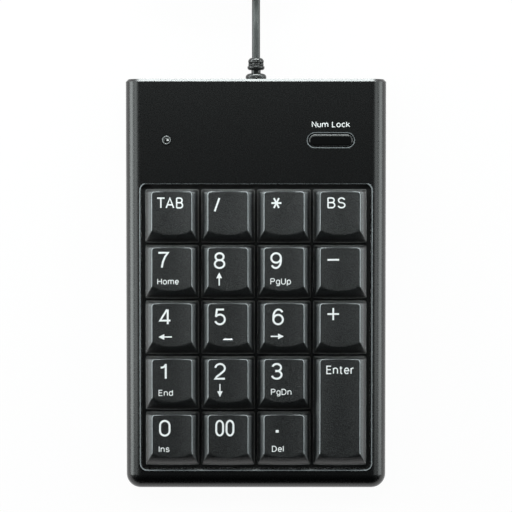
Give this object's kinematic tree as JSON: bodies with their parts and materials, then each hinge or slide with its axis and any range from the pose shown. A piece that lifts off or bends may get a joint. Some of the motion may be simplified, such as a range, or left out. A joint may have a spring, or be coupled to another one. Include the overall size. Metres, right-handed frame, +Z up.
{
  "type": "numeric keypad",
  "caption": "Corded numeric keypad: sloping black housing with a grid of dished membrane keys, one tall key, a pill-shaped lock button, an indicator light and a coiled cord with a plug.",
  "frame": {"origin": "bottom centre of the housing, on the surface that its feet stand on", "axes": "+X right as the user sees it, +Y to the back, where the cord leaves, +Z up"},
  "size_m": [0.0888, 0.2284, 0.0299],
  "materials": {
    "case_plastic": "fine spark-eroded texture on black ABS",
    "keycap_plastic": "black ABS with a fine matt grain and a soft sheen",
    "deck_plastic": "plain black ABS",
    "button_plastic": "fine matt black plastic",
    "legend_ink": "pale grey pad-printed lettering",
    "silicone": "translucent grey silicone rubber",
    "switch_film": "clear polyester film with printed silver tracks",
    "plate_steel": "thin zinc-plated sheet",
    "screw_steel": "zinc-plated steel",
    "spring_steel": "bright drawn wire",
    "switch_metal": "stamped tin-plated cover",
    "clear_epoxy": "water-clear epoxy lamp",
    "tinned_metal": "tinned metal",
    "board_laminate": "green solder mask on laminate",
    "chip_epoxy": "moulded epoxy",
    "ceramic_body": "ceramic with tinned ends",
    "white_nylon": "natural nylon",
    "lead_insulation": "coloured PVC insulation",
    "foot_rubber": "soft black rubber",
    "cord_jacket": "smooth satin PVC jacket",
    "boot_rubber": "moulded satin PVC",
    "tie_strap": "woven hook-and-loop strap",
    "plug_plastic": "moulded satin PVC",
    "plug_metal": "nickel-plated folded sheet",
    "gold_contact": "gold-flashed contact"
  },
  "bodies": {
    "housing": {"backing_plate": "plate_steel", "board_screws": "screw_steel", "bottom_case": "case_plastic", "cable_header": "white_nylon", "capacitors": "ceramic_body", "case_screws": "screw_steel", "clamp_screws": "screw_steel", "coil_ties": "tie_strap", "controller_board": "board_laminate", "controller_chip": "chip_epoxy", "cord_coil": "cord_jacket", "cord_jacket_end": "cord_jacket", "cord_tail": "cord_jacket", "crimp_housing": "white_nylon", "crystal": "tinned_metal", "deck_screws": "screw_steel", "dome_sheet": "silicone", "film_lower": "switch_film", "film_spacer": "switch_film", "film_upper": "switch_film", "foot_back_left": "foot_rubber", "foot_back_right": "foot_rubber", "foot_front_left": "foot_rubber", "foot_front_right": "foot_rubber", "key_deck": "deck_plastic", "lead_wires": "lead_insulation", "led_leads": "tinned_metal", "membrane_clamp": "deck_plastic", "num_lock_led": "clear_epoxy", "plug_contacts": "gold_contact", "plug_overmould": "plug_plastic", "plug_relief": "boot_rubber", "plug_shell": "plug_metal", "plug_tongue": "white_nylon", "strain_relief": "boot_rubber", "tact_switch_body": "switch_metal", "top_case": "case_plastic", "usb_cord": "cord_jacket"},
    "key_tab": {"keycap_tab": "keycap_plastic"},
    "key_divide": {"keycap_divide": "keycap_plastic"},
    "key_multiply": {"keycap_multiply": "keycap_plastic"},
    "key_backspace": {"keycap_backspace": "keycap_plastic"},
    "key_7": {"keycap_7": "keycap_plastic"},
    "key_8": {"keycap_8": "keycap_plastic"},
    "key_9": {"keycap_9": "keycap_plastic"},
    "key_minus": {"keycap_minus": "keycap_plastic"},
    "key_4": {"keycap_4": "keycap_plastic"},
    "key_5": {"keycap_5": "keycap_plastic"},
    "key_6": {"keycap_6": "keycap_plastic"},
    "key_plus": {"keycap_plus": "keycap_plastic"},
    "key_1": {"keycap_1": "keycap_plastic"},
    "key_2": {"keycap_2": "keycap_plastic"},
    "key_3": {"keycap_3": "keycap_plastic"},
    "key_enter": {"keycap_enter": "keycap_plastic"},
    "key_0": {"keycap_0": "keycap_plastic"},
    "key_00": {"keycap_00": "keycap_plastic"},
    "key_point": {"keycap_point": "keycap_plastic"},
    "num_lock": {"num_lock_button": "button_plastic", "tact_switch_plunger": "button_plastic"},
    "stabiliser": {"enter_stabiliser": "spring_steel"}
  },
  "joints": [
    {"name": "press_tab", "type": "slide", "parent": "housing", "child": "key_tab", "axis": [0, 0.0785, -0.9969], "range_m": [0, 0.0035], "stiffness_N_per_m": 110, "springref_m": -0.0025, "deforming": ["dome_sheet"]},
    {"name": "press_divide", "type": "slide", "parent": "housing", "child": "key_divide", "axis": [0, 0.0785, -0.9969], "range_m": [0, 0.0035], "stiffness_N_per_m": 110, "springref_m": -0.0025, "deforming": ["dome_sheet"]},
    {"name": "press_multiply", "type": "slide", "parent": "housing", "child": "key_multiply", "axis": [0, 0.0785, -0.9969], "range_m": [0, 0.0035], "stiffness_N_per_m": 110, "springref_m": -0.0025, "deforming": ["dome_sheet"]},
    {"name": "press_backspace", "type": "slide", "parent": "housing", "child": "key_backspace", "axis": [0, 0.0785, -0.9969], "range_m": [0, 0.0035], "stiffness_N_per_m": 110, "springref_m": -0.0025, "deforming": ["dome_sheet"]},
    {"name": "press_7", "type": "slide", "parent": "housing", "child": "key_7", "axis": [0, 0.0785, -0.9969], "range_m": [0, 0.0035], "stiffness_N_per_m": 110, "springref_m": -0.0025, "deforming": ["dome_sheet"]},
    {"name": "press_8", "type": "slide", "parent": "housing", "child": "key_8", "axis": [0, 0.0785, -0.9969], "range_m": [0, 0.0035], "stiffness_N_per_m": 110, "springref_m": -0.0025, "deforming": ["dome_sheet"]},
    {"name": "press_9", "type": "slide", "parent": "housing", "child": "key_9", "axis": [0, 0.0785, -0.9969], "range_m": [0, 0.0035], "stiffness_N_per_m": 110, "springref_m": -0.0025, "deforming": ["dome_sheet"]},
    {"name": "press_minus", "type": "slide", "parent": "housing", "child": "key_minus", "axis": [0, 0.0785, -0.9969], "range_m": [0, 0.0035], "stiffness_N_per_m": 110, "springref_m": -0.0025, "deforming": ["dome_sheet"]},
    {"name": "press_4", "type": "slide", "parent": "housing", "child": "key_4", "axis": [0, 0.0785, -0.9969], "range_m": [0, 0.0035], "stiffness_N_per_m": 110, "springref_m": -0.0025, "deforming": ["dome_sheet"]},
    {"name": "press_5", "type": "slide", "parent": "housing", "child": "key_5", "axis": [0, 0.0785, -0.9969], "range_m": [0, 0.0035], "stiffness_N_per_m": 110, "springref_m": -0.0025, "deforming": ["dome_sheet"]},
    {"name": "press_6", "type": "slide", "parent": "housing", "child": "key_6", "axis": [0, 0.0785, -0.9969], "range_m": [0, 0.0035], "stiffness_N_per_m": 110, "springref_m": -0.0025, "deforming": ["dome_sheet"]},
    {"name": "press_plus", "type": "slide", "parent": "housing", "child": "key_plus", "axis": [0, 0.0785, -0.9969], "range_m": [0, 0.0035], "stiffness_N_per_m": 110, "springref_m": -0.0025, "deforming": ["dome_sheet"]},
    {"name": "press_1", "type": "slide", "parent": "housing", "child": "key_1", "axis": [0, 0.0785, -0.9969], "range_m": [0, 0.0035], "stiffness_N_per_m": 110, "springref_m": -0.0025, "deforming": ["dome_sheet"]},
    {"name": "press_2", "type": "slide", "parent": "housing", "child": "key_2", "axis": [0, 0.0785, -0.9969], "range_m": [0, 0.0035], "stiffness_N_per_m": 110, "springref_m": -0.0025, "deforming": ["dome_sheet"]},
    {"name": "press_3", "type": "slide", "parent": "housing", "child": "key_3", "axis": [0, 0.0785, -0.9969], "range_m": [0, 0.0035], "stiffness_N_per_m": 110, "springref_m": -0.0025, "deforming": ["dome_sheet"]},
    {"name": "press_enter", "type": "slide", "parent": "housing", "child": "key_enter", "axis": [0, 0.0785, -0.9969], "range_m": [0, 0.0035], "stiffness_N_per_m": 110, "springref_m": -0.0025, "deforming": ["dome_sheet"]},
    {"name": "press_0", "type": "slide", "parent": "housing", "child": "key_0", "axis": [0, 0.0785, -0.9969], "range_m": [0, 0.0035], "stiffness_N_per_m": 110, "springref_m": -0.0025, "deforming": ["dome_sheet"]},
    {"name": "press_00", "type": "slide", "parent": "housing", "child": "key_00", "axis": [0, 0.0785, -0.9969], "range_m": [0, 0.0035], "stiffness_N_per_m": 110, "springref_m": -0.0025, "deforming": ["dome_sheet"]},
    {"name": "press_point", "type": "slide", "parent": "housing", "child": "key_point", "axis": [0, 0.0785, -0.9969], "range_m": [0, 0.0035], "stiffness_N_per_m": 110, "springref_m": -0.0025, "deforming": ["dome_sheet"]},
    {"name": "press_num_lock", "type": "slide", "parent": "housing", "child": "num_lock", "axis": [0, 0.0785, -0.9969], "range_m": [0, 0.0004], "stiffness_N_per_m": 600, "springref_m": -0.0012},
    {"name": "stabiliser_swing", "type": "hinge", "parent": "housing", "child": "stabiliser", "pos_m": [0.023, -0.04302, 0.01461], "axis": [0, 0.9969, 0.0785], "range_deg": [0, 29.26]}
  ],
  "couplings": [
    {"joint": "stabiliser_swing", "follows": "press_enter", "rad_per_m": 144.39}
  ]
}
